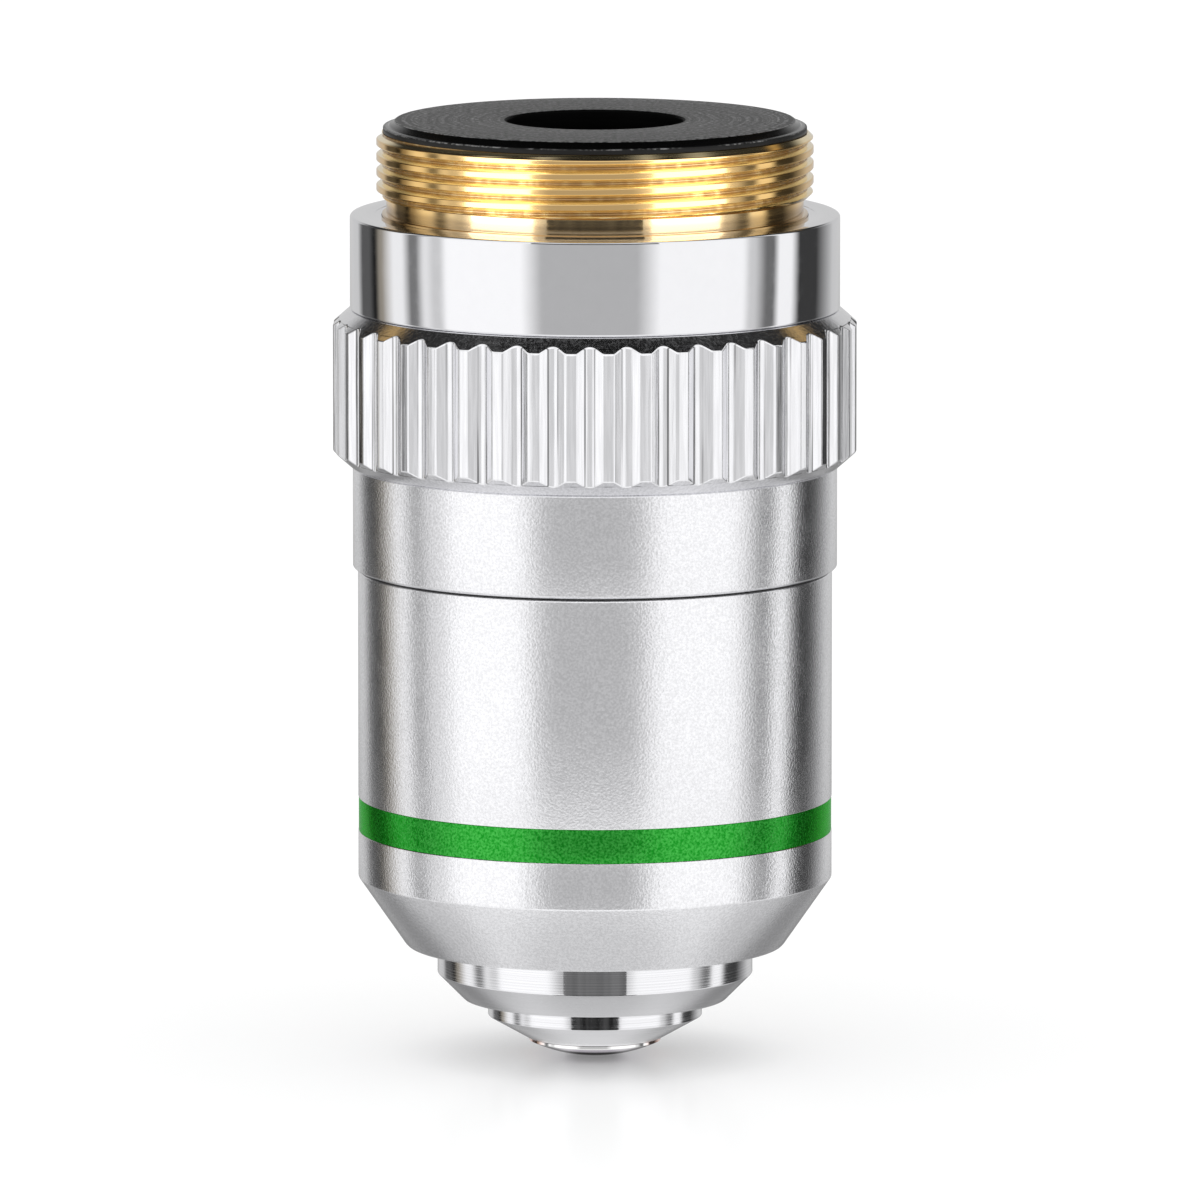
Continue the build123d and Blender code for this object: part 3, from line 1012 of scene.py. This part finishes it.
band = turn_ring(
    "green_band",
    [
        (groove_radius + groove_play, band_low.z),
        (band_high.x, band_low.z),
        (band_high.x, band_high.z),
        (groove_radius + groove_play, band_high.z),
    ],
    rounding=0.02 * mm,
)
settle(band, "colour_band", green_enamel())

# %% [markdown]
# ## Turned chrome
# The sliding nose and the lens cell are plated over fine turning marks. Fine rings stretch every reflection
# along the axis, and they are what gives the dark blocks in front their streaks. The cones below are
# duller.


# %% Plate the nose's finishes
def turned_chrome():
    """Bright plating over fine turning rings."""
    material, tree, shader = new_finish("turned chrome", Metallic=1.0)
    rings = turning_rings(tree, 0.07 * mm)
    lines = between(tree, rings, 0.35, 0.65)
    set_sockets(tree, shader, Base_Color=blend(tree, lines, chrome(0.76), chrome(0.9)))
    set_sockets(tree, shader, Roughness=between(tree, lines, 0, 1, 0.09, 0.17))
    raise_surface(tree, shader, rings, 0.0015 * mm)
    return material


def dull_chrome():
    """Plating on the cones: softer, with a trace of turning."""
    material, tree, shader = new_finish("dull chrome", Metallic=1.0)
    rings = turning_rings(tree, 0.1 * mm)
    beads = grain(tree, 0.08 * mm, 3.0)
    set_sockets(tree, shader, Base_Color=blend(tree, beads, chrome(0.66), chrome(0.78)))
    set_sockets(tree, shader, Roughness=between(tree, rings, 0.3, 0.7, 0.2, 0.28))
    both = reckon(tree, "ADD", beads, product(tree, rings, 0.5))
    raise_surface(tree, shader, both, 0.003 * mm)
    return material


turned = turned_chrome()
dull = dull_chrome()
steepest_cone = -0.3
flattest_cone = -0.97


def dull_cone(piece, shoulder):
    """Gives the faces of a piece's cone, below a height, the duller finish."""
    piece.data.materials.append(turned)
    piece.data.materials.append(dull)
    for face in piece.data.polygons:
        if face.center.z < shoulder and flattest_cone < face.normal.z < steepest_cone:
            face.material_index = 1


print(turned.name, "and", dull.name)

# %% [markdown]
# ## The nose
# The nose comes out of the barrel's mouth as a polished ring with a cone. It slides up against a spring
# when it meets the specimen, so it rides on its own body.

# %% Turn the nose
nose_low, nose_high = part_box("nose_cell")
nose_shoulder = -35.62 * mm
nose_face = 6.15 * mm
spigot_radius = 6.48 * mm
nose_bore = 4.00 * mm
cell_low, cell_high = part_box("front_cell")
cell_bore = cell_high.x + ring_fit

nose = turn_ring(
    "nose_ring",
    [
        (cell_bore, nose_low.z),
        (nose_face, nose_low.z),
        (nose_high.x, nose_shoulder),
        (nose_high.x, lip_top),
        (spigot_radius, lip_top),
        (spigot_radius, nose_high.z),
        (nose_bore, nose_high.z),
        (nose_bore, cell_high.z),
        (cell_bore, cell_high.z),
    ],
    rounding=0.045 * mm,
)
dull_cone(nose, nose_shoulder)
settle(nose, "nose_cell", turned)

# %% [markdown]
# ## The front cell
# The front cell screws into the nose and holds the front lens. Its face slopes to a thin rim, because the
# lens has to come close to the specimen. The rim stays a hair inside its solid, so that more of the lens
# shows.

# %% Turn the front cell
cell_shoulder = -37.65 * mm
lens_low, lens_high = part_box("front_lens")
lens_pocket = lens_high.x + ring_fit
rim_wall = 0.06 * mm
rim_setback = 0.05 * mm
cell_rim = lens_pocket + rim_wall
cell_rim_height = cell_low.z + rim_setback
lens_clear = 2.62 * mm

front_cell = turn_ring(
    "lens_cell",
    [
        (lens_pocket, cell_rim_height),
        (cell_rim, cell_rim_height),
        (cell_high.x, cell_shoulder),
        (cell_high.x, cell_high.z),
        (lens_clear, cell_high.z),
        (lens_clear, lens_high.z),
        (lens_pocket, lens_high.z),
    ],
    rounding=0.03 * mm,
)
dull_cone(front_cell, cell_shoulder)
settle(front_cell, "front_cell", turned)

# %% [markdown]
# ## Dark flags
# The fronts of the two nose rings and of the brass neck mirror something dark and sharp-edged that stands
# close before them. Small curved flags do the same: they show only in reflections and only on the side
# towards the axis, throw no shadow and are not part of the object.

# %% Set up the flags
flag_gap = 0.6 * mm
nose_flag_radius = nose_radius + flag_gap
neck_flag_radius = collar_high.x + flag_gap
flag_split = -36.5 * mm
neck_flag_top = 0.6 * mm
flag_steps = 12


def dark_flag(name, radius, half_angle, foot, top, level, streakiness):
    """A curved flag in front, streaked by a share of its level, that only mirrors can see."""
    turns = [half_angle * (2 * step / flag_steps - 1) for step in range(flag_steps + 1)]
    flag = draw_chain(name, [(radius * sin(turn), -radius * cos(turn), foot) for turn in turns])
    bpy.ops.mesh.extrude_region_move(TRANSFORM_OT_translate={"value": (0, 0, top - foot)})
    bpy.ops.object.mode_set(mode="OBJECT")
    material, tree = bare_material(name)
    place = add_node(tree, "SeparateXYZ", Vector=object_place(tree)).outputs
    spot = add_node(tree, "CombineXYZ", X=place["X"]).outputs[0]
    streaks = add_node(tree, "TexNoise", Vector=spot, Scale=1 / (0.7 * mm)).outputs["Fac"]
    faint, strong = level * (1 - streakiness), level * (1 + streakiness)
    cloth = add_node(tree, "Emission", Strength=between(tree, streaks, 0.35, 0.65, faint, strong))
    inner_side = add_node(tree, "NewGeometry").outputs["Backfacing"]
    clear = add_node(tree, "BsdfTransparent").outputs[0]
    add_node(tree, "OutputMaterial", Surface=mix_shaders(tree, inner_side, clear, cloth.outputs[0]))
    flag.data.materials.append(material)
    flag.visible_camera = False
    flag.visible_diffuse = False
    flag.visible_transmission = False
    flag.visible_shadow = False
    print(name, "from", round(foot / mm, 2), "to", round(top / mm, 2), "mm")


dark_flag(
    "upper_flag", nose_flag_radius, radians(12.4), flag_split, barrel_low.z, level=0.17, streakiness=0.15
)
dark_flag("lower_flag", nose_flag_radius, radians(17.9), lens_tip, flag_split, level=0.04, streakiness=0.9)
dark_flag("neck_flag", neck_flag_radius, radians(15.8), 0, neck_flag_top, level=0.08, streakiness=0.3)

# %% [markdown]
# ## Glass
# The lenses are polished glass with a coating a quarter of a wavelength thick. The coating cancels green
# best, which leaves the purple gleam of coated lenses: Principled has a thin film for this. The front lens
# is seen at a glancing angle, where glass is nearly a mirror, so most of it is given to metal, and its
# reflections are painted into its colour: a painted highlight at its edge, lilac inside, lighter painted
# reflections to the left and right, a dark painted reflection in the middle and reddish painted glints at
# the sides of the rim. A dark line of cement holds it in its cell, and a breath of dust keeps the glass from
# looking unreal.


# %% Polish the glass
coating_nm = 115.0
uncoated = 0.0


def polished_glass(name, film, tint):
    """Clear glass with a thin coating, in nanometres, and a little dust."""
    material, tree, shader = new_finish(
        name, Transmission_Weight=1.0, IOR=1.6, Thin_Film_Thickness=film, Thin_Film_IOR=1.38
    )
    dust = grain(tree, 0.3 * mm, 5.0)
    set_sockets(tree, shader, Base_Color=blend(tree, dust, tint, grey(1)))
    set_sockets(tree, shader, Roughness=between(tree, dust, 0.55, 0.8, 0.0, 0.04))
    return material


def mirroring_glass(name):
    """Coated glass that mirrors, its reflections painted in: a painted highlight at its edge, a dark painted
    reflection in the middle, painted glints and a line of cement at the rim.
    """
    material = polished_glass(name, coating_nm, (0.9, 0.84, 0.93, 1))
    tree = material.node_tree
    shader = tree.nodes["Principled BSDF"]
    radius, height = radius_and_height(tree)
    # painted highlight: near white towards the edge of the glass
    rim = between(tree, radius, 2.88 * mm, 3.03 * mm)
    deep = between(tree, radius, 2.8 * mm, 2.2 * mm)
    place = add_node(tree, "SeparateXYZ", Vector=object_place(tree)).outputs
    across = reckon(tree, "ABSOLUTE", place["X"])
    # painted reflections: lighter towards the left and right
    sides = between(tree, across, 0.7 * mm, 1.6 * mm)
    inner = blend(tree, sides, (0.28, 0.24, 0.31, 1), (0.62, 0.59, 0.64, 1))
    tone = blend(tree, rim, inner, grey(0.98))
    # painted reflection: dark in the middle, with a darker edge tint
    middle = product(tree, deep, between(tree, across, 1.6 * mm, 0.7 * mm))
    tone = blend(tree, middle, tone, (0.06, 0.05, 0.07, 1))
    # painted glints: reddish near the rim at the left and right
    aside = between(tree, across, 2.2 * mm, 2.8 * mm)
    painted_glints = product(tree, between(tree, radius, 2.72 * mm, 2.9 * mm), aside)
    tone = blend(tree, painted_glints, tone, (0.96, 0.68, 0.6, 1))
    cement = between(tree, height, cell_rim_height - 0.05 * mm, cell_rim_height - 0.01 * mm)
    set_sockets(tree, shader, Base_Color=blend(tree, cement, tone, (0.08, 0.05, 0.05, 1)))
    set_sockets(tree, shader, Metallic=between(tree, rim, 0, 1, 0.92, 1.0))
    set_sockets(tree, shader, Specular_Tint=blend(tree, middle, grey(1), grey(0.12)))
    return material


coated_glass = polished_glass("coated glass", coating_nm, (0.95, 0.93, 0.97, 1))
front_glass = mirroring_glass("front glass")
clear_glass = polished_glass("clear glass", uncoated, (0.95, 0.97, 0.96, 1))
print(coated_glass.name, front_glass.name, "and", clear_glass.name)

# %% [markdown]
# ## The lenses that show
# The front lens bulges out of its cell, and the rear lens shows deep in the hole of the stop ring. A lens
# is a chain of two arcs and a rim, spun about the axis. The front lens stands out of its cell by a short
# straight edge, which catches the light as a bright line.

# %% Turn the lenses
arc_steps = 24
flat = 0


def face_points(radius, vertex, curve):
    """Points of a lens face from the axis to the rim; a positive curve has its centre above."""
    if curve == flat:
        return [(0, 0, vertex), (radius, 0, vertex)]
    side = 1 if curve > 0 else -1
    reach = [radius * step / arc_steps for step in range(arc_steps + 1)]
    return [(r, 0, vertex + side * (abs(curve) - sqrt(curve * curve - r * r))) for r in reach]


def turn_lens(name, node, lower_curve, upper_curve, glass):
    """A lens as wide and as thick as its CAD node, with the given curves."""
    low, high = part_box(node)
    lower = face_points(high.x, low.z, lower_curve)
    upper = face_points(high.x, high.z, upper_curve)
    lens = draw_chain(name, lower + upper[::-1])
    bpy.ops.mesh.spin(steps=turn_steps, angle=2 * pi, center=(0, 0, 0), axis=(0, 0, 1))
    close_mesh()
    settle(lens, node, glass)


lens_edge = 0.15 * mm
rear_lower_curve = 17.99 * mm
rear_upper_curve = -24 * mm
bulge = cell_rim_height - lens_edge - lens_low.z
front_curve = (lens_high.x**2 + bulge**2) / (2 * bulge)
turn_lens("front_lens_glass", "front_lens", front_curve, flat, front_glass)
turn_lens("rear_lens_glass", "rear_crown_lens", rear_lower_curve, rear_upper_curve, coated_glass)

# %% [markdown]
# ## The return spring
# A flat-wire spring around the lens tube pushes the nose out. The screw modifier sweeps the rounded wire
# section up the coil. The spring is squeezed as the nose goes in, and it gets a mesh of its own.


# %% Steel for the spring and the guide screw
def spring_steel():
    """Drawn steel with faint streaks."""
    material, tree, shader = new_finish("spring steel", Metallic=1.0)
    streaks = turning_rings(tree, 0.15 * mm)
    set_sockets(tree, shader, Base_Color=blend(tree, streaks, grey(0.42), grey(0.56)))
    set_sockets(tree, shader, Roughness=between(tree, streaks, 0.3, 0.7, 0.22, 0.34))
    return material


steel = spring_steel()
coil_radius = 8.80 * mm
wire_width = 0.80 * mm
wire_height = 0.50 * mm
spring_turns = 3
wire_rounding = 0.1 * mm
coil_steps = 96

spring_low, spring_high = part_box("return_spring")
inner = coil_radius - wire_width / 2
outer = coil_radius + wire_width / 2
wire = [
    (inner, 0, spring_low.z),
    (outer, 0, spring_low.z),
    (outer, 0, spring_low.z + wire_height),
    (inner, 0, spring_low.z + wire_height),
]
spring = draw_chain("coil_spring", wire + wire[:1])
bpy.ops.mesh.remove_doubles(threshold=merge_distance)
bpy.ops.mesh.bevel(affect="VERTICES", offset=wire_rounding, segments=3, clamp_overlap=True)
bpy.ops.object.mode_set(mode="OBJECT")
coil = spring.modifiers.new("coil", "SCREW")
coil.steps = coil.render_steps = coil_steps
coil.iterations = spring_turns
coil.screw_offset = (spring_high.z - spring_low.z - wire_height) / spring_turns
bpy.ops.object.modifier_apply(modifier=coil.name)
bpy.ops.object.mode_set(mode="EDIT")
bpy.ops.mesh.select_all(action="SELECT")
bpy.ops.mesh.fill_holes(sides=0)
close_mesh()
settle(spring, "return_spring", steel)
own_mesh(spring)

# %% [markdown]
# ## The pieces inside
# The lens tube, the cells and the inner glass keep their CAD solids, because only a glimpse of them shows
# through the hole in the stop ring. They still get the finish of the real pieces: plain turned brass, and
# brass blackened so that no stray light comes back.


# %% Finish the inner pieces
def plain_brass():
    """Brass as it comes from the lathe."""
    material, tree, shader = new_finish("plain brass", Metallic=1.0)
    rings = turning_rings(tree, 0.2 * mm)
    tone = blend(tree, rings, (0.66, 0.46, 0.19, 1), (0.78, 0.58, 0.28, 1))
    set_sockets(tree, shader, Base_Color=tone)
    set_sockets(tree, shader, Roughness=between(tree, rings, 0.3, 0.7, 0.26, 0.38))
    return material


def blackened_brass():
    """Brass turned dull black in a bath."""
    material, tree, shader = new_finish("blackened brass", Specular_IOR_Level=0.3)
    cloud = grain(tree, 0.4 * mm, 4.0)
    rings = turning_rings(tree, 0.15 * mm)
    set_sockets(tree, shader, Base_Color=blend(tree, cloud, grey(0.012), (0.035, 0.032, 0.03, 1)))
    set_sockets(tree, shader, Roughness=between(tree, rings, 0.3, 0.7, 0.45, 0.65))
    return material


blackened = blackened_brass()
inner_finishes = {
    "lens_tube": plain_brass(),
    "guide_screw": steel,
    "middle_cell": blackened,
    "lens_spacer": blackened,
    "rear_cell": blackened,
    "lock_ring": blackened,
    "middle_flint_lens": clear_glass,
    "middle_crown_lens": clear_glass,
    "rear_flint_lens": clear_glass,
}
for name, finish in inner_finishes.items():
    node = frame["nodes"][name]
    node.data.materials.clear()
    node.data.materials.append(finish)
print(len(inner_finishes), "inner pieces finished")
